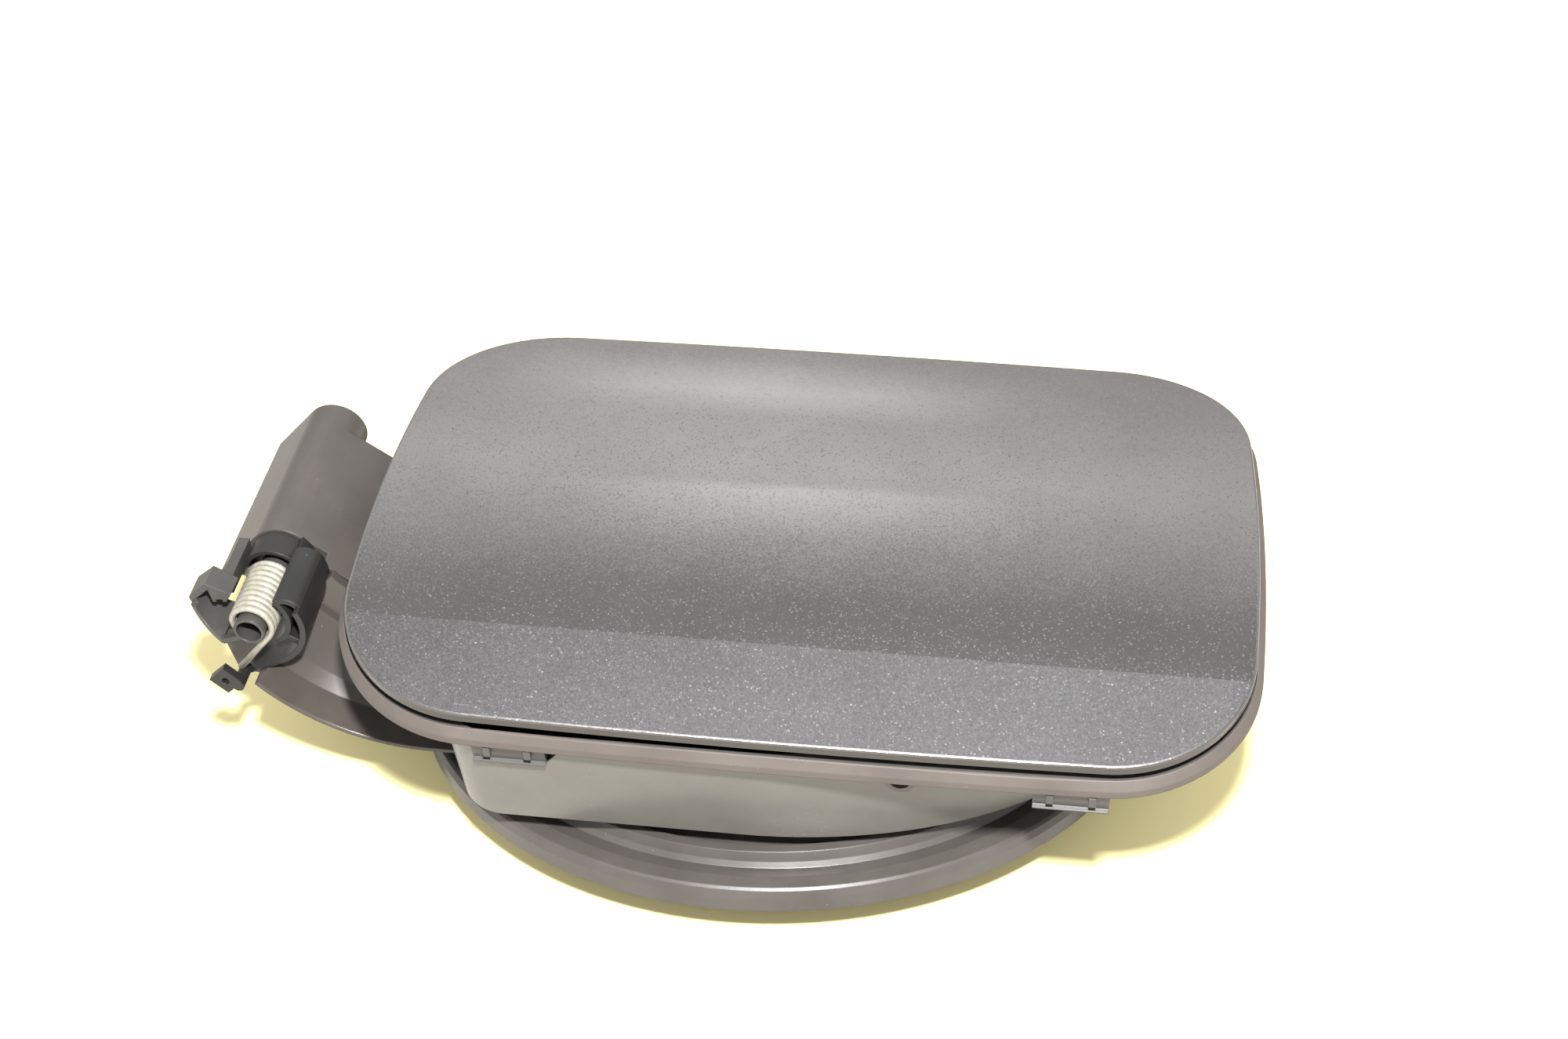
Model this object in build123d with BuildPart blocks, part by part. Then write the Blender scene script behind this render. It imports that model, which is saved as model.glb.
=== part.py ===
import os
from math import cos, radians, sin

from build123d import *

# Sizes are in millimetres. The origin is on the filler neck's axis, level with the gaiter's sealing
# edge. X runs along the door away from its hinge, Z points up, and the near side is at -Y.

# Door outline, from corner to corner, with sides that bow outwards
door_x = 7.0
door_y = -1.25
door_length = 190.0
door_width = 129.5
near_bulge = 1.8
far_bulge = 1.6
side_bulge = 3.1
near_left_radius = 33.0
near_right_radius = 31.0
far_right_radius = 32.0
far_left_radius = 32.0

# Crowned outer face: a long arc, with a flat near facet that starts at a crease
crown_height = 55.8
near_drop = 5.8
far_drop = 6.4
crown_reach = 8.0
crease_y = -43.0
facet_angle = 8.6

# Painted skin and the carrier plate behind it
skin_thickness = 1.2
hem_thickness = 2.2
hem_width = 5.0
skin_edge_round = 0.6
carrier_inset = 9.0
carrier_thickness = 2.2

# Seal and flange round the bowl's mouth, as depths under the door's outer face
seal_depth = 3.5
seal_overhang = 1.8
seal_slope_drop = 1.3
seal_lip_width = 1.6
seal_skirt = 1.2
flange_depth = 5.8
flange_thickness = 2.0
flange_overhang = 1.0

# Bowl well: straight at the hinge, rounded to a half ellipse at the other end
well_x = -1.8
well_left = -65.0
well_nose = 87.2
well_half_width = 59.3
well_floor_height = 13.0
well_floor_thickness = 2.2
well_wall = 2.2
well_draft = 0.233
well_corner_radius = 11.0

# Filler neck opening and its rubber ring
neck_hole_radius = 36.0
neck_bore_radius = 30.0
neck_seal_bottom = -14.0
neck_seal_top = 20.0
neck_lip_radius = 39.0
neck_lip_thickness = 2.0

# Lock pin guide, a bush in the near wall, and the eye on the door that the pin enters
lock_x = 32.5
lock_below_flange = 6.2
lock_hole_radius = 2.3
lock_bush_radius = 3.4
lock_boss_radius = 4.5
lock_boss_length = 3.0
lock_bush_proud = 1.0
lock_eye_clearance = 0.4
lock_eye_width = 10.0
lock_eye_thickness = 3.0
lock_eye_gap = 1.2

# Snap hooks under the flange
hook_width = 15.5
hook_left_x = -48.9
hook_right_x = 67.7
hook_length = 5.4
hook_depth = 3.2
hook_root = 0.6
hook_undercut = 1.2
hook_barb = 0.8
hook_barb_height = 0.7
hook_window = 3.8
hook_window_reach = 6.0
hook_rib_width = 1.5
hook_rib_height = 2.6
hook_rib_depth = 0.7
hook_rib_spacing = 8.6

# Gaiter: oval ring of constant section, turned a little in plan
gaiter_half_length = 86.0
gaiter_half_width = 70.5
gaiter_turn = 9.0
gaiter_radius = 80.0
gaiter_lip_height = 4.2
gaiter_crest_height = 6.2
gaiter_crest_round = 0.8
gaiter_crest_width = 5.0
gaiter_groove_depth = 1.0
gaiter_groove_width = 3.6
gaiter_bead_height = 8.2
gaiter_bead_width = 4.8
gaiter_bead_round = 1.2
gaiter_seat_outer = 56.0
gaiter_seat_inner = 46.0
gaiter_seat_slope = 1.5
gaiter_wall = 2.0

# Hinge axis, parallel to Y, with the barrel, the arm and the sleeve that carries it
hinge_x = -114.0
hinge_z = 40.0
barrel_radius = 7.4
barrel_near = -12.0
barrel_far = 34.0
barrel_end_wall = 4.0
flank_x = -14.8
flank_z = -6.8
flank_round = 1.0
running_clearance = 0.05
moving_clearance = 0.3
sleeve_radius = 5.55
sleeve_end_gap = 4.0
collar_radius = 6.9
collar_length = 6.7

# Gooseneck arm: falls away from the barrel, turns, and rises to the carrier
arm_near = -16.0
arm_far = 27.0
arm_thickness = 3.0
arm_fall = 36.0
arm_run = 30.0
arm_bend_radius = 15.5
arm_rise = 55.0
arm_side_clearance = 1.0

# Spring arbor and its lever, placed from the hinge axis
arbor_radius = 3.5
arbor_bore_radius = 2.85
arbor_near = -38.0
lever_far = -26.0
lever_wall = 1.4
lever_web = 1.5
lever_eave = (-5.6, 4.2)
lever_ridge = (-10.3, 7.1)
lever_heel = (-13.9, 4.0)
lever_belly = (-11.0, -1.4)
lever_root = (-6.6, -3.6)
lever_foot = (-2.6, -2.2)
lever_heel_near = -32.8
lever_eave_near = -31.0
lever_block_bottom = 2.6
lever_block_left = -9.6
lever_block_right = -6.6
lever_notch = 0.7
tongue_width = 2.4
tongue_height = 4.0
tongue_gap = 0.3
tongue_rise = 2.0

# Torsion spring
wire_diameter = 1.5
coil_radius = 4.6
coil_far = -20.4
coil_near = -36.0
coil_turns = 9
coil_start_angle = 130.0
coil_end_angle = -39.5
upper_leg = 4.2
lower_leg = 12.4

# Hinge bracket: hood and guard beside the spring, fan web and a tab for the spring's lower leg
hood_depth = 3.2
hood_radius = 5.9
guard_inner_radius = 7.1
guard_wall = 1.3
guard_low_angle = -55.0
guard_high_angle = 46.0
guard_near = -34.0
bracket_near = -36.0
bracket_radius = 12.3
bracket_wall = 1.4
bracket_web = 2.0
bracket_rib_angle = -33.0
roof_radius = 10.4
bracket_high_angle = 24.0
bracket_low_angle = -105.5
web_low_angle = -72.0
tail_x = -4.3
tail_z = -14.9
tail_round = 0.7
tab_size = 5.3
tab_thickness = 2.0
tab_hole_radius = 0.9
tab_gap = 0.5

# Hinge pocket: revolved about an axis parallel to Y over the door's edge
pocket_x = -76.0
pocket_z = 60.0
pocket_wall = 2.2
pocket_mouth_radius = 31.0
pocket_floor_radius = 51.0
pocket_sweep = 52.0
terrace_radii = (37.0, 45.7, 50.0)
terrace_feet = (-21.3, -30.4, -40.5)
terrace_ledges = (2.2, 3.0)
ledge_drop = 2.5
flank_sweep_clearance = 1.0
cheek_left = -88.0

# Foot under the hinge: upright plate on the pocket, behind the lever and clear of its tongue
foot_near = -25.4
foot_thickness = 2.0
foot_heel = (-13.3, -11.0)
foot_toe = (-10.3, -25.0)
foot_clearance = 1.0

# Bump stops, where they stand on the carrier
stop_places = ((-74.0, -40.0), (-74.0, 40.0), (88.0, -42.0), (88.0, 38.0))
stop_radius = 4.0
stop_stem_radius = 2.0

# Ribs of the cap holder behind the door
holder_x = 22.0
holder_radius = 17.0
holder_wall = 1.8
holder_depth = 7.0
holder_mouth = 20.0

# Derived places
door_left = door_x - door_length / 2
door_right = door_x + door_length / 2
door_near = door_y - door_width / 2
door_far = door_y + door_width / 2
near_edge = door_near - near_bulge
far_edge = door_far + far_bulge
span = door_length
tall = crown_height + crown_reach
barrel_bore_radius = sleeve_radius + running_clearance
sleeve_bore_radius = arbor_radius + running_clearance
flank_reach = (flank_x ** 2 + flank_z ** 2) ** 0.5 + flank_round
carrier_depth = skin_thickness + carrier_thickness
flange_bottom_depth = flange_depth + flange_thickness
slot_near = arm_near - arm_side_clearance
slot_far = arm_far + arm_side_clearance
pocket_axis = Axis((pocket_x, 0, pocket_z), (0, 1, 0))
floor_top = well_floor_height + well_floor_thickness
slot_left = 2 * door_left - well_left
slot_right = well_left + well_wall
gaiter_bead_outer = gaiter_radius - gaiter_crest_width - gaiter_groove_width - gaiter_bead_round
lock_height = crown_height - near_drop - flange_bottom_depth - lock_below_flange
lock_grow = well_draft * (lock_height - well_floor_height)
lock_share = (1 - ((lock_x - well_x) / (well_nose + lock_grow)) ** 2) ** 0.5
lock_wall_y = door_y - (well_half_width + lock_grow) * lock_share
lock_boss_y = lock_wall_y + well_wall + lock_boss_length


def side_plane(y):
    # Upright plane facing the near side, with X to the right and Z up
    return Plane.XZ.offset(-y)


def from_hinge(x, z):
    return (hinge_x + x, hinge_z + z)


def polar_from_hinge(radius, angle):
    return from_hinge(radius * cos(radians(angle)), radius * sin(radians(angle)))


def door_outline(grow):
    corners = (
        ((door_left, door_near), near_left_radius),
        ((door_right, door_near), near_right_radius),
        ((door_right, door_far), far_right_radius),
        ((door_left, door_far), far_left_radius),
    )
    with BuildSketch() as outline:
        with BuildLine():
            ThreePointArc((door_left, door_near), (door_x, near_edge), (door_right, door_near))
            ThreePointArc((door_right, door_near), (door_right + side_bulge, door_y), (door_right, door_far))
            ThreePointArc((door_right, door_far), (door_x, far_edge), (door_left, door_far))
            ThreePointArc((door_left, door_far), (door_left - side_bulge, door_y), (door_left, door_near))
        make_face()
        for corner, radius in corners:
            fillet(outline.vertices().sort_by_distance((*corner, 0))[0], radius=radius)
        if grow:
            offset(amount=grow)
    return outline.sketch


# Crown: one arc across the door, through both of its edges and its height over the neck's axis
with BuildLine():
    crown_arc = ThreePointArc(
        (near_edge, crown_height - near_drop), (0, crown_height), (far_edge, crown_height - far_drop)
    )


def crown_drop(y):
    # Fall of the door's outer face from its height over the neck's axis
    middle = crown_arc.arc_center
    return crown_height - middle.Y - (crown_arc.radius ** 2 - (y - middle.X) ** 2) ** 0.5


def crown_section(top_depth, bottom_depth):
    # Section across the door between two depths under its outer face
    near_end = near_edge - crown_reach
    far_end = far_edge + crown_reach
    with BuildSketch(Plane.YZ) as section:
        with BuildLine():
            top, bottom = [
                ThreePointArc(
                    (near_end, crown_height - crown_drop(near_end) - depth),
                    (0, crown_height - depth),
                    (far_end, crown_height - crown_drop(far_end) - depth),
                )
                for depth in (top_depth, bottom_depth)
            ]
            Line(top @ 0, bottom @ 0)
            Line(top @ 1, bottom @ 1)
        make_face()
    return section.sketch


def flange_underside(y):
    return crown_height - crown_drop(y) - flange_bottom_depth


def keep_crown(top_depth, bottom_depth):
    extrude(crown_section(top_depth, bottom_depth), amount=span, both=True, mode=Mode.INTERSECT)


def well_outline(height, inset):
    grow = well_draft * (height - well_floor_height) - inset
    half_width = well_half_width + grow
    with BuildSketch(Plane.XY.offset(height)) as outline:
        with BuildLine():
            nose = EllipticalCenterArc((well_x, door_y), well_nose + grow, half_width, -90, arc_size=180)
            left = well_left + inset
            Polyline(nose @ 1, (left, door_y + half_width), (left, door_y - half_width), nose @ 0)
        make_face()
        fillet(outline.vertices().group_by(Axis.X)[0], radius=well_corner_radius - inset)
    return outline.sketch


def hook_section(edge, inward, x):
    # Snap hook across the door's edge: inward is 1 at the near edge and -1 at the far edge
    top = flange_underside(edge) + hook_root
    bottom = flange_underside(edge) - hook_length
    with BuildSketch(Plane.YZ.offset(x - hook_width / 2)) as section:
        with BuildLine():
            Polyline(
                (edge + inward * hook_depth, top),
                (edge, top),
                (edge + inward * hook_undercut, bottom + hook_barb_height),
                (edge + inward * (hook_undercut - hook_barb), bottom + hook_barb_height / 2),
                (edge + inward * (hook_undercut - hook_barb), bottom),
                (edge + inward * hook_depth, bottom),
                close=True,
            )
        make_face()
    return section.sketch


def hook_window_outline(edge):
    # Three-cornered window in the bowl's wall beside a left hook, which lets the hook spring
    start = hook_left_x + hook_width / 2
    with BuildSketch(side_plane(edge)) as outline:
        with BuildLine():
            Polyline(
                (start, flange_underside(edge)),
                (start + hook_window, flange_underside(edge)),
                (start, flange_underside(edge) - hook_length),
                close=True,
            )
        make_face()
    return outline.sketch


def sector(radius, low_angle, high_angle):
    # Pie slice about the hinge axis
    middle = (low_angle + high_angle) / 2
    with BuildSketch() as slice_outline:
        with BuildLine():
            arc = ThreePointArc(
                polar_from_hinge(radius, low_angle),
                polar_from_hinge(radius, middle),
                polar_from_hinge(radius, high_angle),
            )
            Line(arc @ 1, from_hinge(0, 0))
            Line(from_hinge(0, 0), arc @ 0)
        make_face()
    return slice_outline.sketch


def fan_outline(grow):
    # Round bracket body drawn out to the end of its tail
    with BuildSketch() as fan:
        with Locations(from_hinge(0, 0)):
            Circle(bracket_radius + grow)
        with Locations(from_hinge(tail_x, tail_z)):
            Circle(tail_round)
        make_hull()
    return fan.sketch


def hinge_rounds(*radii):
    # Disc about the hinge axis, with a hole if two radii are given
    with BuildSketch() as rounds:
        with Locations(from_hinge(0, 0)):
            Circle(radii[0])
            if len(radii) > 1:
                Circle(radii[1], mode=Mode.SUBTRACT)
    return rounds.sketch


os.makedirs("parts", exist_ok=True)

# Door skin: crowned sheet with a thicker hemmed edge
with BuildPart() as skin_recess:
    extrude(door_outline(-hem_width), amount=tall)
    keep_crown(skin_thickness, tall)

with BuildPart() as door_skin:
    extrude(door_outline(0), amount=tall)
    keep_crown(0, hem_thickness)
    with BuildSketch(Plane.YZ):
        with BuildLine():
            crease = (crease_y, crown_height - crown_drop(crease_y))
            outward = PolarLine(crease, -tall, facet_angle)
            inward = PolarLine(crease, tall, facet_angle)
            Polyline(inward @ 1, (crease_y, 2 * tall), outward @ 1)
        make_face()
    extrude(amount=span, both=True, mode=Mode.SUBTRACT)
    skin_top = door_skin.faces().filter_by(lambda face: face.normal_at().Z > 0.5)
    fillet(skin_top.edges().filter_by(Axis.X, reverse=True), radius=skin_edge_round)
    add(skin_recess.part, mode=Mode.SUBTRACT)
door_skin.part.label = "door_skin"
export_step(door_skin.part, "parts/door_skin.step")

# Hinge arm: carrier plate, gooseneck and barrel in one moulding
with BuildPart() as carrier:
    extrude(door_outline(-carrier_inset), amount=tall)
    keep_crown(skin_thickness, carrier_depth)
    with Locations(*[(x, y, 0) for x, y in stop_places]):
        Cylinder(
            stop_stem_radius, tall, align=(Align.CENTER, Align.CENTER, Align.MIN), mode=Mode.SUBTRACT
        )

with BuildPart() as carrier_ribs:
    with BuildSketch():
        with Locations((holder_x, door_y)):
            Circle(holder_radius)
            Circle(holder_radius - holder_wall, mode=Mode.SUBTRACT)
        with Locations((holder_x + holder_radius, door_y)):
            Rectangle(2 * holder_radius, holder_mouth, mode=Mode.SUBTRACT)
    extrude(amount=tall)
    keep_crown(skin_thickness, carrier_depth + holder_depth)

lock_eye_near = lock_boss_y + lock_eye_gap
with BuildPart() as lock_eye:
    with BuildSketch(side_plane(lock_eye_near + lock_eye_thickness)):
        with Locations((lock_x, lock_height)):
            Circle(lock_eye_width / 2)
        with Locations((lock_x, (lock_height + tall) / 2)):
            Rectangle(lock_eye_width, tall - lock_height)
        with Locations((lock_x, lock_height)):
            Circle(lock_hole_radius + lock_eye_clearance, mode=Mode.SUBTRACT)
    extrude(amount=lock_eye_thickness)
    keep_crown(skin_thickness, tall)

with BuildPart() as hinge_arm:
    with BuildSketch(side_plane(arm_far)):
        with BuildLine():
            fall_normal = 90.0 - arm_fall
            fall = PolarLine(
                polar_from_hinge(barrel_radius - arm_thickness / 2, fall_normal), arm_run, -arm_fall
            )
            bend = JernArc(fall @ 1, fall % 1, arm_bend_radius, arm_fall + arm_rise)
            rise_height = crown_height - (bend @ 1).Y
            PolarLine(bend @ 1, rise_height / sin(radians(arm_rise)), arm_rise)
        trace(line_width=arm_thickness)
    extrude(amount=arm_far - arm_near)
    with BuildSketch(side_plane(barrel_near)):
        add(hinge_rounds(bracket_radius - bracket_wall))
    extrude(amount=barrel_near - slot_near, mode=Mode.SUBTRACT)
    with BuildSketch(side_plane(barrel_far)):
        with Locations(from_hinge(0, 0)):
            Circle(barrel_radius)
        with Locations(from_hinge(flank_x, flank_z)):
            Circle(flank_round)
        make_hull()
    extrude(amount=barrel_far - barrel_near)
    add(carrier.part)
    add(carrier_ribs.part)
    add(lock_eye.part)
    extrude(crown_section(-tall, skin_thickness), amount=span, both=True, mode=Mode.SUBTRACT)
    with BuildSketch(side_plane(barrel_far - barrel_end_wall)):
        add(hinge_rounds(barrel_bore_radius))
    extrude(amount=barrel_far - barrel_end_wall - barrel_near, mode=Mode.SUBTRACT)
hinge_arm.part.label = "hinge_arm"
export_step(hinge_arm.part, "parts/hinge_arm.step")

# Bump stops: rubber buttons with a stem through the carrier
with BuildPart() as stop_blanks:
    with BuildSketch():
        with Locations(*stop_places):
            Circle(stop_radius)
    extrude(amount=tall)
    keep_crown(carrier_depth, flange_depth - moving_clearance)

with BuildPart() as bump_stops:
    with BuildSketch():
        with Locations(*stop_places):
            Circle(stop_stem_radius)
    extrude(amount=tall)
    keep_crown(skin_thickness, carrier_depth)
    add(stop_blanks.part)
bump_stops.part.label = "bump_stops"
export_step(bump_stops.part, "parts/bump_stops.step")

# Spring arbor: tube through the sleeve, hollow lever and the tongue that drives it from the barrel
sleeve_far = barrel_far - barrel_end_wall - sleeve_end_gap
with BuildPart() as lever:
    with BuildSketch(side_plane(lever_far)):
        with BuildLine():
            roof = Polyline(*[from_hinge(*corner) for corner in (lever_eave, lever_ridge, lever_heel)])
            ThreePointArc(roof @ 1, from_hinge(*lever_belly), from_hinge(*lever_root))
        trace(line_width=lever_wall)
        with BuildLine():
            Polyline(
                from_hinge(*lever_eave),
                from_hinge(*lever_ridge),
                from_hinge(lever_block_left, lever_block_bottom),
                from_hinge(lever_block_right, lever_block_bottom),
                close=True,
            )
        make_face()
        with Locations(from_hinge((lever_block_left + lever_block_right) / 2, lever_block_bottom)):
            Rectangle(2 * lever_notch, 2 * lever_notch, mode=Mode.SUBTRACT)
    extrude(amount=lever_far - arbor_near)
    with BuildSketch(Plane.XY.offset(hinge_z + lever_block_bottom)):
        with BuildLine():
            Polyline(
                (hinge_x + lever_heel[0] - lever_wall, lever_heel_near),
                (hinge_x, lever_eave_near),
                (hinge_x, 2 * arbor_near),
                (hinge_x + lever_heel[0] - lever_wall, 2 * arbor_near),
                close=True,
            )
        make_face()
    extrude(amount=tall, mode=Mode.SUBTRACT)
    with BuildSketch(Plane.XY):
        with BuildLine():
            Polyline(
                (hinge_x + lever_heel[0] - lever_wall, lever_heel_near),
                (hinge_x + lever_root[0], arbor_near),
                (hinge_x + lever_heel[0] - lever_wall, 2 * arbor_near),
                close=True,
            )
        make_face()
    extrude(amount=tall, mode=Mode.SUBTRACT)

with BuildPart() as spring_arbor:
    with BuildSketch(side_plane(sleeve_far)):
        add(hinge_rounds(arbor_radius, arbor_bore_radius))
    extrude(amount=sleeve_far - arbor_near)
    with BuildSketch(side_plane(arbor_near + lever_web)):
        with BuildLine():
            Line(from_hinge(*lever_root), from_hinge(*lever_foot))
        trace(line_width=lever_wall)
    extrude(amount=lever_web)
    add(lever.part)
    with BuildSketch(side_plane(barrel_near)):
        with Locations(from_hinge(-collar_radius - tongue_gap - tongue_width / 2, tongue_rise)):
            Rectangle(tongue_width, tongue_height)
    extrude(amount=barrel_near - lever_far)
spring_arbor.part.label = "spring_arbor"
export_step(spring_arbor.part, "parts/spring_arbor.step")

# Hinge bracket: sleeve and collar that carry the barrel, spring guard, fan and tab
collar_far = barrel_near - moving_clearance
collar_near = collar_far - collar_length
fan_far = arm_near - arm_side_clearance / 2
tab_near = arbor_near - tab_gap - tab_thickness
with BuildPart() as hinge_bracket:
    with BuildSketch(side_plane(sleeve_far)):
        add(hinge_rounds(sleeve_radius))
    extrude(amount=sleeve_far - collar_near)
    with BuildSketch(side_plane(collar_far)):
        add(hinge_rounds(collar_radius))
    extrude(amount=collar_length)
    with BuildSketch(side_plane(collar_far)):
        add(hinge_rounds(guard_inner_radius + guard_wall))
        add(sector(2 * bracket_radius, guard_low_angle, guard_high_angle), mode=Mode.INTERSECT)
    extrude(amount=collar_length)
    with BuildSketch(side_plane(collar_near)):
        add(hinge_rounds(guard_inner_radius + guard_wall, guard_inner_radius))
        add(sector(2 * bracket_radius, guard_low_angle, guard_high_angle), mode=Mode.INTERSECT)
    extrude(amount=collar_near - guard_near)
    with BuildSketch(side_plane(fan_far)):
        with BuildLine():
            ThreePointArc(
                polar_from_hinge(guard_inner_radius + guard_wall / 2, guard_high_angle - guard_wall),
                polar_from_hinge(roof_radius, (guard_high_angle + bracket_high_angle) / 2),
                polar_from_hinge(bracket_radius - bracket_wall / 2, bracket_high_angle - bracket_wall),
            )
        trace(line_width=bracket_wall)
        with BuildLine():
            Line(
                polar_from_hinge(guard_inner_radius + guard_wall / 2, bracket_rib_angle),
                polar_from_hinge(bracket_radius - bracket_wall / 2, bracket_rib_angle),
            )
        trace(line_width=bracket_wall)
    extrude(amount=fan_far - guard_near)
    with BuildSketch(side_plane(fan_far)):
        add(fan_outline(0))
        add(fan_outline(-bracket_wall), mode=Mode.SUBTRACT)
        add(sector(2 * bracket_radius, bracket_low_angle, bracket_high_angle), mode=Mode.INTERSECT)
    extrude(amount=fan_far - bracket_near)
    with BuildSketch(side_plane(fan_far)):
        add(fan_outline(0))
        add(sector(2 * bracket_radius, web_low_angle, bracket_high_angle), mode=Mode.INTERSECT)
        add(hinge_rounds(guard_inner_radius), mode=Mode.SUBTRACT)
    extrude(amount=bracket_web)
    with BuildSketch(side_plane(bracket_near + bracket_web)):
        with Locations(from_hinge(tail_x, tail_z)):
            Circle(2 * tail_round)
    extrude(amount=bracket_near + bracket_web - tab_near)
    with BuildSketch(side_plane(tab_near + tab_thickness)):
        with Locations(from_hinge(tail_x - tab_size / 2, tail_z + tab_size / 4)):
            Rectangle(tab_size, tab_size, rotation=45)
            Circle(tab_hole_radius, mode=Mode.SUBTRACT)
    extrude(amount=tab_thickness)
    with BuildSketch(side_plane(sleeve_far)):
        add(hinge_rounds(sleeve_bore_radius))
    extrude(amount=sleeve_far - collar_near, mode=Mode.SUBTRACT)
    with BuildSketch(side_plane(collar_near + hood_depth)):
        add(hinge_rounds(hood_radius))
    extrude(amount=hood_depth, mode=Mode.SUBTRACT)
hinge_bracket.part.label = "hinge_bracket"
export_step(hinge_bracket.part, "parts/hinge_bracket.step")

# Torsion spring: left-hand coil towards the near side, with two straight legs
coil_length = coil_far - coil_near
coil_pitch = coil_length / (coil_turns + (coil_start_angle - coil_end_angle) / 360)
coil_plane = Plane(
    origin=(hinge_x, coil_far, hinge_z),
    x_dir=(cos(radians(coil_start_angle)), 0, sin(radians(coil_start_angle))),
    z_dir=(0, -1, 0),
)
with BuildPart() as spring_blank:
    with BuildLine() as coil:
        Helix(coil_pitch, coil_length, coil_radius, lefthand=True)
    with BuildSketch(Plane(origin=coil.line @ 0, z_dir=coil.line % 0)):
        Circle(wire_diameter / 2)
    sweep(path=coil.line, is_frenet=True)
    with BuildSketch(Plane(origin=coil.line @ 0, z_dir=-(coil.line % 0))):
        Circle(wire_diameter / 2)
    extrude(amount=upper_leg)
    with BuildSketch(Plane(origin=coil.line @ 1, z_dir=coil.line % 1)):
        Circle(wire_diameter / 2)
    extrude(amount=lower_leg)

with BuildPart() as torsion_spring:
    with Locations(coil_plane):
        add(spring_blank.part)
torsion_spring.part.label = "torsion_spring"
export_step(torsion_spring.part, "parts/torsion_spring.step")

# Hinge pocket: terraced shell revolved over the hinge side, then straight to the bowl
pocket_plane = Plane(origin=(pocket_x, 0, pocket_z), x_dir=(0, 1, 0), z_dir=(1, 0, 0))
first_radius, second_radius, last_radius = terrace_radii
first_foot, second_foot, last_foot = terrace_feet
first_ledge, second_ledge = terrace_ledges
inner_floor = pocket_floor_radius - pocket_wall
with BuildSketch(pocket_plane) as pocket_section:
    with BuildLine():
        Polyline(
            (slot_near, -pocket_mouth_radius),
            (slot_near - pocket_wall, -pocket_mouth_radius),
            (first_foot, -first_radius),
            (first_foot - first_ledge, -first_radius),
            (second_foot, -second_radius),
            (second_foot - second_ledge, -second_radius - ledge_drop),
            (last_foot, -last_radius),
            (last_foot, -pocket_floor_radius),
            (slot_far + pocket_wall, -pocket_floor_radius),
            (slot_far + pocket_wall, -pocket_mouth_radius),
            (slot_far, -pocket_mouth_radius),
            (slot_far, -inner_floor),
            (second_foot - second_ledge + pocket_wall, -inner_floor),
            (second_foot + pocket_wall / 2, -second_radius - pocket_wall),
            (first_foot - first_ledge + pocket_wall / 2, -first_radius - pocket_wall),
            (first_foot + pocket_wall / 2, -first_radius - pocket_wall),
            close=True,
        )
    make_face()

with BuildPart() as cheeks:
    with BuildSketch(Plane.XY.offset(pocket_z - pocket_mouth_radius)):
        for cheek_y in (slot_near - pocket_wall / 2, slot_far + pocket_wall / 2):
            with Locations(((cheek_left + well_left) / 2, cheek_y)):
                Rectangle(well_left - cheek_left, pocket_wall)
    extrude(amount=pocket_mouth_radius)
    keep_crown(flange_bottom_depth, tall)

with BuildPart() as hinge_pocket:
    revolve(pocket_section.sketch, axis=pocket_axis, revolution_arc=pocket_sweep)
    extrude(pocket_section.sketch, amount=well_left - pocket_x)
    add(cheeks.part)
    with BuildSketch(side_plane(fan_far)):
        add(fan_outline(0))
    extrude(amount=fan_far - last_foot, mode=Mode.SUBTRACT)
    with BuildSketch(side_plane(barrel_far + flank_sweep_clearance)):
        add(hinge_rounds(flank_reach + flank_sweep_clearance))
    extrude(amount=barrel_far + flank_sweep_clearance - fan_far, mode=Mode.SUBTRACT)
    with BuildSketch(side_plane(foot_near + foot_thickness)):
        with BuildLine():
            Polyline(
                from_hinge(*foot_heel),
                from_hinge(*foot_toe),
                (pocket_x, pocket_z - pocket_floor_radius),
                (pocket_x, pocket_z - second_radius),
                close=True,
            )
        make_face()
        add(fan_outline(foot_clearance), mode=Mode.SUBTRACT)
    extrude(amount=foot_thickness)
hinge_pocket.part.label = "hinge_pocket"
export_step(hinge_pocket.part, "parts/hinge_pocket.step")

# Well under the flange, its hollow, and the slot for the arm, shared by the bowl and its flange
with BuildPart() as well_body:
    loft([well_outline(well_floor_height, 0), well_outline(crown_height, 0)])
    keep_crown(flange_bottom_depth, tall)

with BuildPart() as well_hollow:
    loft([well_outline(floor_top, well_wall), well_outline(tall, well_wall)])

with BuildPart() as arm_slot:
    with BuildSketch(Plane.XY.offset(floor_top)):
        with Locations(((slot_left + slot_right) / 2, (slot_near + slot_far) / 2)):
            Rectangle(slot_right - slot_left, slot_far - slot_near)
    extrude(amount=tall)

# Mouth flange: plate round the bowl's mouth, joined to the bowl's wall, with snap hooks under its edge
with BuildPart() as mouth_flange:
    extrude(door_outline(flange_overhang), amount=tall)
    keep_crown(flange_depth, flange_bottom_depth)
    for edge, inward in ((near_edge, 1), (far_edge, -1)):
        rib_y = edge + inward * (hook_undercut - hook_rib_depth) / 2
        for hook_x in (hook_left_x, hook_right_x):
            extrude(hook_section(edge, inward, hook_x), amount=hook_width)
            with Locations(
                (hook_x - hook_rib_spacing / 2, rib_y, flange_underside(edge)),
                (hook_x + hook_rib_spacing / 2, rib_y, flange_underside(edge)),
            ):
                Box(
                    hook_rib_width,
                    hook_undercut + hook_rib_depth,
                    hook_rib_height,
                    align=(Align.CENTER, Align.CENTER, Align.MAX),
                )
    add(well_body.part, mode=Mode.SUBTRACT)
    add(well_hollow.part, mode=Mode.SUBTRACT)
    add(arm_slot.part, mode=Mode.SUBTRACT)
mouth_flange.part.label = "mouth_flange"
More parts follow.
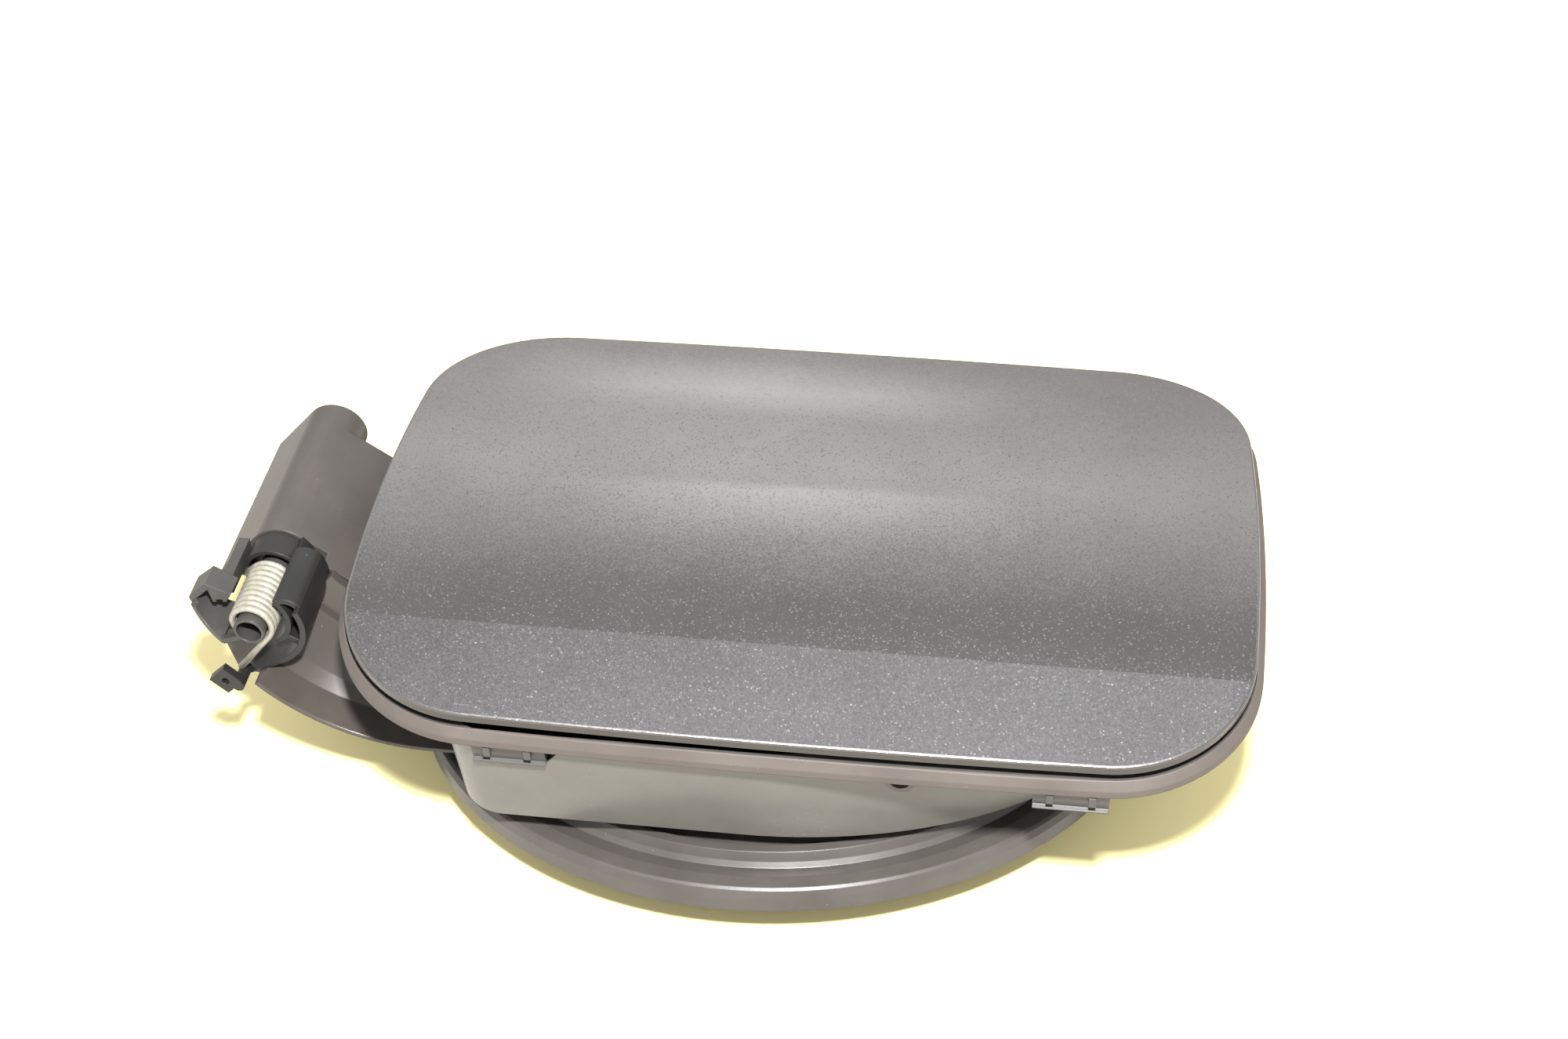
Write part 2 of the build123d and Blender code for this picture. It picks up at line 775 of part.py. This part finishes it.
export_step(mouth_flange.part, "parts/mouth_flange.step")

# Filler bowl: drafted well with floor, neck hole, arm slot, hook windows and the seat of the lock guide
with BuildPart() as filler_bowl:
    add(well_body.part)
    add(well_hollow.part, mode=Mode.SUBTRACT)
    with BuildSketch(side_plane(lock_boss_y)):
        with Locations((lock_x, lock_height)):
            Circle(lock_bush_radius)
    extrude(amount=2 * (lock_boss_length + well_wall), mode=Mode.SUBTRACT)
    with BuildSketch(Plane.XY.offset(well_floor_height)):
        Circle(neck_hole_radius)
    extrude(amount=well_floor_thickness, mode=Mode.SUBTRACT)
    for edge in (near_edge, far_edge):
        extrude(hook_window_outline(edge), amount=hook_window_reach, both=True, mode=Mode.SUBTRACT)
    add(arm_slot.part, mode=Mode.SUBTRACT)
filler_bowl.part.label = "filler_bowl"
export_step(filler_bowl.part, "parts/filler_bowl.step")

# Lock guide: bush pressed through the near wall, with a boss on the inside
with BuildPart() as lock_guide:
    with BuildSketch(side_plane(lock_boss_y)):
        with Locations((lock_x, lock_height)):
            Circle(lock_boss_radius)
    extrude(amount=lock_boss_length + well_wall / 2)
    add(filler_bowl.part, mode=Mode.SUBTRACT)
    with BuildSketch(side_plane(lock_boss_y)):
        with Locations((lock_x, lock_height)):
            Circle(lock_bush_radius)
    extrude(amount=lock_boss_length + well_wall + lock_bush_proud)
    with BuildSketch(side_plane(lock_boss_y)):
        with Locations((lock_x, lock_height)):
            Circle(lock_hole_radius)
    extrude(amount=lock_boss_length + well_wall + lock_bush_proud, mode=Mode.SUBTRACT)
lock_guide.part.label = "lock_guide"
export_step(lock_guide.part, "parts/lock_guide.step")

# Rim seal: lip outside the door's edge that slopes down outwards, with a skirt round the flange's edge
with BuildPart() as seal_inside:
    extrude(door_outline(seal_overhang - seal_lip_width), amount=tall)

with BuildPart() as seal_skirt_ring:
    extrude(door_outline(seal_overhang), amount=tall)
    extrude(door_outline(flange_overhang), amount=tall, mode=Mode.SUBTRACT)
    keep_crown(flange_depth, flange_depth + seal_skirt)

with BuildPart() as rim_seal:
    extrude(door_outline(seal_overhang), amount=tall)
    keep_crown(seal_depth, flange_depth)
    seal_top = rim_seal.faces().filter_by(lambda face: face.normal_at().Z > 0.5)
    chamfer(seal_top.edges().filter_by(Axis.X, reverse=True), length=seal_slope_drop, length2=seal_overhang)
    add(seal_inside.part, mode=Mode.SUBTRACT)
    add(seal_skirt_ring.part)
    add(arm_slot.part, mode=Mode.SUBTRACT)
rim_seal.part.label = "rim_seal"
export_step(rim_seal.part, "parts/rim_seal.step")

# Neck seal: ring that grips the floor's hole with a groove and reaches down round the filler neck
with BuildPart() as neck_seal:
    with BuildSketch(Plane.XZ):
        with BuildLine():
            Polyline(
                (neck_bore_radius, neck_seal_bottom),
                (neck_hole_radius, neck_seal_bottom),
                (neck_lip_radius, well_floor_height - neck_lip_thickness),
                (neck_lip_radius, well_floor_height),
                (neck_hole_radius, well_floor_height),
                (neck_hole_radius, floor_top),
                (neck_lip_radius, floor_top),
                (neck_lip_radius, floor_top + neck_lip_thickness),
                (neck_hole_radius, neck_seal_top),
                (neck_bore_radius, neck_seal_top),
                close=True,
            )
        make_face()
    revolve(axis=Axis.Z)
neck_seal.part.label = "neck_seal"
export_step(neck_seal.part, "parts/neck_seal.step")

# Body gaiter: one section turned to a ring, stretched to an oval and turned in plan
with BuildPart() as gaiter_ring:
    with BuildSketch(Plane.XZ):
        with BuildLine():
            Polyline(
                (gaiter_radius, 0),
                (gaiter_radius, gaiter_lip_height),
                (gaiter_radius - gaiter_crest_round, gaiter_crest_height - gaiter_crest_round / 2),
                (gaiter_radius - 2 * gaiter_crest_round, gaiter_crest_height),
                (gaiter_radius - gaiter_crest_width, gaiter_crest_height),
                (gaiter_bead_outer + gaiter_bead_round, gaiter_crest_height - gaiter_groove_depth),
                (gaiter_bead_outer, gaiter_crest_height),
                (gaiter_bead_outer - gaiter_bead_round, gaiter_bead_height),
                (gaiter_bead_outer - gaiter_bead_width + gaiter_bead_round, gaiter_bead_height),
                (gaiter_bead_outer - gaiter_bead_width, gaiter_crest_height),
                (gaiter_seat_outer + gaiter_seat_slope, gaiter_crest_height),
                (gaiter_seat_outer, well_floor_height - gaiter_wall),
                (gaiter_seat_outer, well_floor_height),
                (gaiter_seat_inner, well_floor_height),
                (gaiter_seat_inner, well_floor_height - gaiter_wall),
                (gaiter_seat_outer - gaiter_wall, well_floor_height - gaiter_wall),
                (gaiter_seat_outer - gaiter_wall + gaiter_seat_slope, gaiter_crest_height - gaiter_wall),
                (gaiter_bead_outer, gaiter_crest_height - gaiter_wall - gaiter_groove_depth),
                (gaiter_radius - gaiter_wall, gaiter_lip_height - gaiter_groove_depth),
                (gaiter_radius - gaiter_wall, 0),
                close=True,
            )
        make_face()
    revolve(axis=Axis.Z)
    scale(by=(gaiter_half_length / gaiter_radius, gaiter_half_width / gaiter_radius, 1))

with BuildPart() as body_gaiter:
    add(gaiter_ring.part, rotation=(0, 0, gaiter_turn))
body_gaiter.part.label = "body_gaiter"
export_step(body_gaiter.part, "parts/body_gaiter.step")
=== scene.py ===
import math

import bmesh
import bpy
from mathutils import Matrix, Vector


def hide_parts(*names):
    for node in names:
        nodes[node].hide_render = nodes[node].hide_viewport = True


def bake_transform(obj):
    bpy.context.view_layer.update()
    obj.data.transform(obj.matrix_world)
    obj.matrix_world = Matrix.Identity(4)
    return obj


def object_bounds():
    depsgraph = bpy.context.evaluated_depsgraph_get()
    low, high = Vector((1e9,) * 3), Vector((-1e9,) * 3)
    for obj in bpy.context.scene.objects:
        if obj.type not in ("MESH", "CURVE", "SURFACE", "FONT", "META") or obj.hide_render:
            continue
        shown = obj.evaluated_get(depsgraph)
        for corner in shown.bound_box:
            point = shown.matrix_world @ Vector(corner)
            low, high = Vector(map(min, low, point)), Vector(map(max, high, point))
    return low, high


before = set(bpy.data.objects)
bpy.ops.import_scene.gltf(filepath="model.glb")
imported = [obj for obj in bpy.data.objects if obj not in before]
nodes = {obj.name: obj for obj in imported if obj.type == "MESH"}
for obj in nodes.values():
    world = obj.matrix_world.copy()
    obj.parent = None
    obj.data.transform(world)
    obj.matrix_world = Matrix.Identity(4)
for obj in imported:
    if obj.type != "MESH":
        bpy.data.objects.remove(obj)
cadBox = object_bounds()
mm = 0.001
print("frame loaded:", ", ".join(sorted(nodes)))


def hexColour(code):
    # sRGB hex to the linear values that sockets take
    parts = [int(code[i:i + 2], 16) / 255 for i in (1, 3, 5)]
    return [c / 12.92 if c < 0.04045 else ((c + 0.055) / 1.055) ** 2.4 for c in parts] + [1.0]


def perMetre(sizeMm):
    # texture scale that repeats once in this many millimetres
    return 1 / (sizeMm * mm)


def addNode(tree, kind, links=None, values=None, **settings):
    node = tree.nodes.new(kind)
    for name, value in settings.items():
        setattr(node, name, value)
    for key, value in (values or {}).items():
        node.inputs[key].default_value = value
    for key, socket in (links or {}).items():
        tree.links.new(socket, node.inputs[key])
    return node


def newMaterial(name):
    material = bpy.data.materials.new(name)
    material.use_nodes = True
    tree = material.node_tree
    tree.nodes.clear()
    shader = addNode(tree, "ShaderNodeBsdfPrincipled")
    addNode(tree, "ShaderNodeOutputMaterial", {"Surface": shader.outputs["BSDF"]})
    place = addNode(tree, "ShaderNodeTexCoord").outputs["Object"]
    return material, tree, shader, place


def setRamp(node, stops):
    ramp = node.color_ramp
    while len(ramp.elements) < len(stops):
        ramp.elements.new(0.5)
    for element, (place, colour) in zip(ramp.elements, stops):
        element.position = place
        element.color = colour


# Metallic base coat under lacquer: grey, with aluminium flakes of which a few lie steeply and glint
paint = {
    "dark": "#948f8d",
    "light": "#9a9694",
    "hemPaintedShade": "#454341",  # painted shade: dark base colour on the upright edge of the hem
    "hemShadeTurn": (0.1, 0.5),  # upward share of the normal over which the painted hem shade fades out
    "cloudMm": 18,
    "flakeMm": 0.3,  # real flakes are near 0.03 mm, drawn larger so that they show
    "lie": 0.07,
    "steepShare": 0.10,
    "steepLie": 0.27,
    "steepTowards": (0.0, 0.5, 0.0),  # taken off the lean, so steep flakes face the near side
    "rough": 0.27,
    "lacquerRough": 0.04,
    "lacquerIor": 1.5,
}


def metallicPaint():
    material, tree, shader, place = newMaterial("metallicPaint")
    cells = addNode(tree, "ShaderNodeTexVoronoi", {"Vector": place}, {"Scale": perMetre(paint["flakeMm"])})
    cloud = addNode(tree, "ShaderNodeTexNoise", {"Vector": place},
                    {"Scale": perMetre(paint["cloudMm"]), "Detail": 3})
    base = addNode(tree, "ShaderNodeValToRGB", {"Fac": cloud.outputs["Fac"]})
    setRamp(base, [(0.3, hexColour(paint["dark"])), (0.7, hexColour(paint["light"]))])
    flat = addNode(tree, "ShaderNodeNewGeometry").outputs["Normal"]
    facing = addNode(tree, "ShaderNodeSeparateXYZ", {"Vector": flat})
    # Painted shade: faces that turn away from upward, such as the hem's upright edge, get the dark hem colour
    # in place of the paint
    sideOn, faceUp = paint["hemShadeTurn"]
    upward = addNode(tree, "ShaderNodeMapRange", {"Value": facing.outputs["Z"]},
                     {"From Min": sideOn, "From Max": faceUp})
    shadedBase = addNode(tree, "ShaderNodeMix", {"Factor": upward.outputs["Result"], 7: base.outputs["Color"]},
                   {6: hexColour(paint["hemPaintedShade"])}, data_type="RGBA")
    tree.links.new(shadedBase.outputs[2], shader.inputs["Base Color"])
    draw = addNode(tree, "ShaderNodeSeparateColor", {"Color": cells.outputs["Color"]})
    steep = addNode(tree, "ShaderNodeMath", {0: draw.outputs["Blue"]}, {1: 1 - paint["steepShare"]},
                    operation="GREATER_THAN")
    lie = addNode(tree, "ShaderNodeMapRange", {"Value": steep.outputs[0]},
                  {"To Min": paint["lie"], "To Max": paint["steepLie"]})
    bias = addNode(tree, "ShaderNodeVectorMath", {"Scale": steep.outputs[0]}, {0: paint["steepTowards"]},
                   operation="SCALE")
    spread = addNode(tree, "ShaderNodeVectorMath", {0: cells.outputs["Color"], 1: bias.outputs["Vector"]},
                     operation="SUBTRACT")
    lean = addNode(tree, "ShaderNodeVectorMath", {0: spread.outputs["Vector"]}, {1: (0.5, 0.5, 0.5)},
                   operation="SUBTRACT")  # a cell's colour runs from 0 to 1
    scaled = addNode(tree, "ShaderNodeVectorMath", {0: lean.outputs["Vector"], "Scale": lie.outputs["Result"]},
                     operation="SCALE")
    turned = addNode(tree, "ShaderNodeVectorMath", {0: flat, 1: scaled.outputs["Vector"]}, operation="ADD")
    unit = addNode(tree, "ShaderNodeVectorMath", {0: turned.outputs["Vector"]}, operation="NORMALIZE")
    tree.links.new(unit.outputs["Vector"], shader.inputs["Normal"])
    shader.inputs["Metallic"].default_value = 1.0
    shader.inputs["Roughness"].default_value = paint["rough"]
    shader.inputs["Coat Weight"].default_value = 1.0
    shader.inputs["Coat Roughness"].default_value = paint["lacquerRough"]
    shader.inputs["Coat IOR"].default_value = paint["lacquerIor"]
    return material


# Moulded plastic and rubber: cast grain, cloudy sheen, edges rounded a little, dust in sparse specks
moulded = {
    "hingeNylon": {"dark": "#3e3a37", "light": "#484340", "rough": 0.33,
                   "grainMm": 0.35, "bump": 0.05, "edge": 0.35},
    "pocketNylon": {"dark": "#38332f", "light": "#433d39", "rough": 0.24,
                    "grainMm": 0.5, "bump": 0.02, "edge": 0.5},
    "leverNylon": {"dark": "#333230", "light": "#3f3d3b", "rough": 0.36,
                   "grainMm": 0.3, "bump": 0.05, "edge": 0.35},
    "blackNylon": {"dark": "#191918", "light": "#222120", "rough": 0.42,
                   "grainMm": 0.3, "bump": 0.06, "edge": 0.35},
    "bowlPlastic": {"dark": "#575551", "light": "#605e59", "rough": 0.24,
                    "grainMm": 0.6, "bump": 0.012, "edge": 0.0},
    "flangePlastic": {"dark": "#3c3b38", "light": "#464441", "rough": 0.42,
                      "grainMm": 0.6, "bump": 0.03, "edge": 0.25},
    "rimRubber": {"dark": "#48423e", "light": "#534c47", "rough": 0.52,
                  "grainMm": 0.4, "bump": 0.08, "edge": 0.35},
    "blackRubber": {"dark": "#262524", "light": "#31302e", "rough": 0.60,
                    "grainMm": 0.4, "bump": 0.06, "edge": 0.0},
    "gaiterRubber": {"dark": "#3c3836", "light": "#494542", "rough": 0.30,
                     "grainMm": 0.7, "bump": 0.05, "edge": 0.35},
}
castSkin = {
    "cloudMm": 22,
    "sheenSpread": (-0.06, 0.08),  # how far the roughness goes either way
    "grainDepthMm": 0.2,
    "edgeSamples": 6,
    "dustShare": 0.02,
    "dustMm": 2.6,
    "dustColour": "#cfc6b4",
    "ior": 1.5,
}


def mouldedMaterial(name):
    look = moulded[name]
    material, tree, shader, place = newMaterial(name)
    cloud = addNode(tree, "ShaderNodeTexNoise", {"Vector": place},
                    {"Scale": perMetre(castSkin["cloudMm"]), "Detail": 4, "Roughness": 0.6})
    base = addNode(tree, "ShaderNodeValToRGB", {"Fac": cloud.outputs["Fac"]})
    setRamp(base, [(0.32, hexColour(look["dark"])), (0.68, hexColour(look["light"]))])
    specks = addNode(tree, "ShaderNodeTexVoronoi", {"Vector": place}, {"Scale": perMetre(castSkin["dustMm"])})
    dust = addNode(tree, "ShaderNodeMath", {0: specks.outputs["Distance"]}, {1: castSkin["dustShare"]},
                   operation="LESS_THAN")
    colour = addNode(tree, "ShaderNodeMix", {"Factor": dust.outputs[0], 6: base.outputs["Color"]},
                     {7: hexColour(castSkin["dustColour"])}, data_type="RGBA")
    tree.links.new(colour.outputs[2], shader.inputs["Base Color"])
    shinier, duller = castSkin["sheenSpread"]
    sheen = addNode(tree, "ShaderNodeMapRange", {"Value": cloud.outputs["Fac"]},
                    {"To Min": look["rough"] + shinier, "To Max": look["rough"] + duller})
    tree.links.new(sheen.outputs["Result"], shader.inputs["Roughness"])
    grain = addNode(tree, "ShaderNodeTexNoise", {"Vector": place},
                    {"Scale": perMetre(look["grainMm"]), "Detail": 2})
    bump = addNode(tree, "ShaderNodeBump", {"Height": grain.outputs["Fac"]},
                   {"Strength": look["bump"], "Distance": castSkin["grainDepthMm"] * mm})
    if look["edge"]:
        rounded = addNode(tree, "ShaderNodeBevel", values={"Radius": look["edge"] * mm},
                          samples=castSkin["edgeSamples"])
        tree.links.new(rounded.outputs["Normal"], bump.inputs["Normal"])
    tree.links.new(bump.outputs["Normal"], shader.inputs["Normal"])
    shader.inputs["IOR"].default_value = castSkin["ior"]
    return material


# Plated spring wire: pale zinc with a cloudy film
wire = {"dark": "#8d897b", "light": "#a5a194", "patchMm": 1.5, "metallic": 0.4, "rough": 0.38}


def platedWire():
    material, tree, shader, place = newMaterial("platedSpringWire")
    patches = addNode(tree, "ShaderNodeTexNoise", {"Vector": place},
                      {"Scale": perMetre(wire["patchMm"]), "Detail": 3})
    base = addNode(tree, "ShaderNodeValToRGB", {"Fac": patches.outputs["Fac"]})
    setRamp(base, [(0.3, hexColour(wire["dark"])), (0.7, hexColour(wire["light"]))])
    tree.links.new(base.outputs["Color"], shader.inputs["Base Color"])
    shader.inputs["Metallic"].default_value = wire["metallic"]
    shader.inputs["Roughness"].default_value = wire["rough"]
    return material


def dress(node, material):
    slots = nodes[node].data.materials
    slots.clear()
    slots.append(material)


bowlPlastic = mouldedMaterial("bowlPlastic")
blackRubber = mouldedMaterial("blackRubber")
dress("door_skin", metallicPaint())
dress("hinge_arm", mouldedMaterial("hingeNylon"))
dress("hinge_pocket", mouldedMaterial("pocketNylon"))
dress("hinge_bracket", mouldedMaterial("blackNylon"))
dress("spring_arbor", mouldedMaterial("leverNylon"))
dress("filler_bowl", bowlPlastic)
dress("mouth_flange", mouldedMaterial("flangePlastic"))
dress("lock_guide", bowlPlastic)
dress("rim_seal", mouldedMaterial("rimRubber"))
dress("bump_stops", blackRubber)
dress("neck_seal", blackRubber)
dress("body_gaiter", mouldedMaterial("gaiterRubber"))
print("materials on the moulded, rubber and painted nodes")

# On the real part the coil winds as the door swings: the near leg stays on the bracket's tab, the far leg goes
# with the lever. Here the node's mesh is copied, welded and smooth-shaded, and stands in for the node
spring = {"legReachMm": 2.4, "weldMm": 0.002, "sharpDegrees": 50}


def makeSpring():
    mesh = bpy.data.meshes.new("windingSpring")
    form = bmesh.new()
    form.from_mesh(nodes["torsion_spring"].data)
    bmesh.ops.remove_doubles(form, verts=form.verts, dist=spring["weldMm"] * mm)
    form.to_mesh(mesh)
    form.free()
    mesh.shade_smooth()
    mesh.set_sharp_from_angle(angle=math.radians(spring["sharpDegrees"]))
    mesh.materials.append(platedWire())
    coil = bpy.data.objects.new("windingSpring", mesh)
    bpy.context.collection.objects.link(coil)
    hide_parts("torsion_spring")
    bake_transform(coil)


makeSpring()

# Pale cream table top: white in the lamp's light, straw-coloured in shadow
floorLook = {
    "size": 6.0,
    "seen": "#f4e8ae",
    "bounced": "#b9b4aa",
    "farColour": "#fbf9f2",
    "nearM": 0.16,
    "farM": 0.32,
}


def makeFloor():
    mesh = bpy.data.meshes.new("floor")
    form = bmesh.new()
    bmesh.ops.create_grid(form, x_segments=1, y_segments=1, size=floorLook["size"] / 2)
    bmesh.ops.translate(form, verts=form.verts, vec=(0, 0, cadBox[0][2]))
    form.to_mesh(mesh)
    form.free()
    floor = bpy.data.objects.new("floor", mesh)
    bpy.context.collection.objects.link(floor)
    material, tree, shader, place = newMaterial("creamTableTop")
    reach = addNode(tree, "ShaderNodeVectorMath", {0: place}, operation="LENGTH")
    away = addNode(tree, "ShaderNodeMapRange", {"Value": reach.outputs["Value"]},
                   {"From Min": floorLook["nearM"], "From Max": floorLook["farM"]})
    seen = addNode(tree, "ShaderNodeMix", {"Factor": away.outputs["Result"]},
                   {6: hexColour(floorLook["seen"]), 7: hexColour(floorLook["farColour"])}, data_type="RGBA")
    path = addNode(tree, "ShaderNodeLightPath")
    colour = addNode(tree, "ShaderNodeMix", {"Factor": path.outputs["Is Camera Ray"], 7: seen.outputs[2]},
                     {6: hexColour(floorLook["bounced"])}, data_type="RGBA")
    tree.links.new(colour.outputs[2], shader.inputs["Base Color"])
    shader.inputs["Roughness"].default_value = 1.0
    shader.inputs["Specular IOR Level"].default_value = 0.0
    mesh.materials.append(material)


makeFloor()

# Room: even light all round. The lacquer mirrors a pale wall with two soft windows, a dark beam
# and a bright, cooler ceiling. Heights are degrees above the horizon.
room = {
    "even": 1.2,
    "heights": (0, 15, 23, 29, 35, 41, 47, 51, 56, 62, 70, 82, 90),
    "levels": (0.6, 0.58, 0.58, 0.9, 1.24, 0.94, 0.64, 0.16, 0.16, 0.98, 1.25, 1.35, 7.0),
    "panes": ((18, 0), (23.5, 0.8), (28, 0), (37, 0), (38.1, 1), (45, 0)),
    "windows": 2.4,
    "windowAzimuth": -8.0,
    "windowReach": 9.0,
    "windowRest": 0.05,
    "ceilingFrom": 60,
    "ceilingTint": (0.96, 1.0, 1.05),
    "azimuthSpan": 45.0,
    "zenith": 90,
}


def grey(value):
    return (value, value, value, 1.0)


def makeRoom():
    world = bpy.data.worlds.new("room")
    bpy.context.scene.world = world
    world.use_nodes = True
    tree = world.node_tree
    tree.nodes.clear()
    way = addNode(tree, "ShaderNodeTexCoord").outputs["Generated"]
    axes = addNode(tree, "ShaderNodeSeparateXYZ", {"Vector": way})
    rise = addNode(tree, "ShaderNodeMath", {0: axes.outputs["Z"]}, operation="ARCSINE")
    height = addNode(tree, "ShaderNodeMapRange", {"Value": rise.outputs[0]},
                     {"From Max": math.radians(room["zenith"])})
    turn = addNode(tree, "ShaderNodeMath", {0: axes.outputs["X"], 1: axes.outputs["Y"]}, operation="ARCTAN2")
    span = math.radians(room["azimuthSpan"])
    side = addNode(tree, "ShaderNodeMapRange", {"Value": turn.outputs[0]},
                   {"From Min": -span, "From Max": span})

    def up(angle):
        return angle / room["zenith"]

    def across(angle):
        return 0.5 + angle / (2 * room["azimuthSpan"])

    def wallColour(angle, level):
        tint = room["ceilingTint"] if angle > room["ceilingFrom"] else (1.0, 1.0, 1.0)
        return [level * share for share in tint] + [1.0]

    walls = addNode(tree, "ShaderNodeValToRGB", {"Fac": height.outputs["Result"]})
    wallStops = zip(room["heights"], room["levels"])
    setRamp(walls, [(up(angle), wallColour(angle, level)) for angle, level in wallStops])
    panes = addNode(tree, "ShaderNodeValToRGB", {"Fac": height.outputs["Result"]})
    setRamp(panes, [(up(angle), grey(level)) for angle, level in room["panes"]])
    middle, reach = room["windowAzimuth"], room["windowReach"]
    within = addNode(tree, "ShaderNodeValToRGB", {"Fac": side.outputs["Result"]})
    within.color_ramp.interpolation = "EASE"
    setRamp(within, [
        (across(middle - reach), grey(room["windowRest"])),
        (across(middle), grey(1)),
        (across(middle + reach), grey(0)),
    ])
    lit = addNode(tree, "ShaderNodeMix", {6: panes.outputs["Color"], 7: within.outputs["Color"]},
                  {"Factor": 1.0}, data_type="RGBA", blend_type="MULTIPLY")
    bright = addNode(tree, "ShaderNodeVectorMath", {0: lit.outputs[2]}, {"Scale": room["windows"]},
                     operation="SCALE")
    whole = addNode(tree, "ShaderNodeVectorMath", {0: walls.outputs["Color"], 1: bright.outputs["Vector"]},
                    operation="ADD")
    mirrored = addNode(tree, "ShaderNodeBackground", {"Color": whole.outputs["Vector"]})
    even = addNode(tree, "ShaderNodeBackground", values={"Color": grey(room["even"])})
    white = addNode(tree, "ShaderNodeBackground", values={"Color": grey(1.0)})
    path = addNode(tree, "ShaderNodeLightPath")
    lighting = addNode(tree, "ShaderNodeMixShader", {
        0: path.outputs["Is Glossy Ray"],
        1: even.outputs["Background"],
        2: mirrored.outputs["Background"],
    })
    seen = addNode(tree, "ShaderNodeMixShader", {
        0: path.outputs["Is Camera Ray"],
        1: lighting.outputs["Shader"],
        2: white.outputs["Background"],
    })
    addNode(tree, "ShaderNodeOutputWorld", {"Surface": seen.outputs["Shader"]})


makeRoom()

# One small lamp just above the viewer, as a camera's own flash
lampLook = {"place": (0.067, -0.341, 0.503), "aim": (0.0, 0.0, 0.03), "size": 0.035, "watts": 10.6}


def makeLamp():
    lamp = bpy.data.lights.new("flashLamp", "AREA")
    lamp.size = lampLook["size"]
    lamp.energy = lampLook["watts"]
    holder = bpy.data.objects.new("flashLamp", lamp)
    bpy.context.collection.objects.link(holder)
    holder.location = lampLook["place"]
    aim = Vector(lampLook["aim"]) - Vector(lampLook["place"])
    holder.rotation_euler = aim.to_track_quat("-Z", "Y").to_euler()


makeLamp()

# Viewpoint: about 41 degrees above the table, a little to the right, with a slight roll
view = {
    "place": (0.058684, -0.389181, 0.393216),
    "look": (-0.11172, 0.74607, -0.65643),
    "right": (0.99120, 0.13083, -0.02000),
    "lens": 53.39,
    "sensorWidth": 36,
    "clipStart": 0.01,
}


def makeCamera():
    camera = bpy.data.cameras.new("camera")
    camera.sensor_width = view["sensorWidth"]
    camera.lens = view["lens"]
    camera.clip_start = view["clipStart"]
    holder = bpy.data.objects.new("camera", camera)
    bpy.context.collection.objects.link(holder)
    look = Vector(view["look"]).normalized()
    right = Vector(view["right"]).normalized()
    up = right.cross(look)
    turn = Matrix((right, up, -look)).transposed().to_4x4()
    holder.matrix_world = Matrix.Translation(view["place"]) @ turn
    bpy.context.scene.camera = holder


makeCamera()
bpy.context.scene.view_settings.view_transform = "Standard"
print("room, lamp and camera set")
